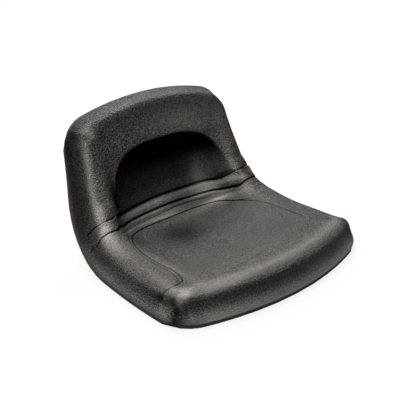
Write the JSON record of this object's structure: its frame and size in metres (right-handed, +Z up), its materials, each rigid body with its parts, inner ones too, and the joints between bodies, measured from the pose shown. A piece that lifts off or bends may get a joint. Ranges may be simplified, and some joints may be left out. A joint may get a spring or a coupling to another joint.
{
  "type": "garden tractor bucket seat",
  "caption": "Low-back moulded bucket seat with side wings, raised crest roll, seat channel and sunken lumbar panel, on a pressed steel pan for bolting down.",
  "frame": {"origin": "centre of the four mounting holes, on the flat underside of the two mounting channels", "axes": "+X across the seat to the sitter's left, +Y to the back of the seat, so the seat faces -Y, +Z up"},
  "size_m": [0.5008, 0.4498, 0.3003],
  "materials": {
    "vinyl": "soft grained black vinyl with a satin sheen",
    "foam": "open-cell moulded foam",
    "pan_steel": "satin black paint",
    "trim_plastic": "extruded black plastic",
    "zinc": "zinc plated"
  },
  "bodies": {
    "root": {"cover": "vinyl", "foam_cushion": "foam", "seat_pan": "pan_steel", "edge_trim": "trim_plastic", "mounting_nuts": "zinc"}
  },
  "joints": []
}
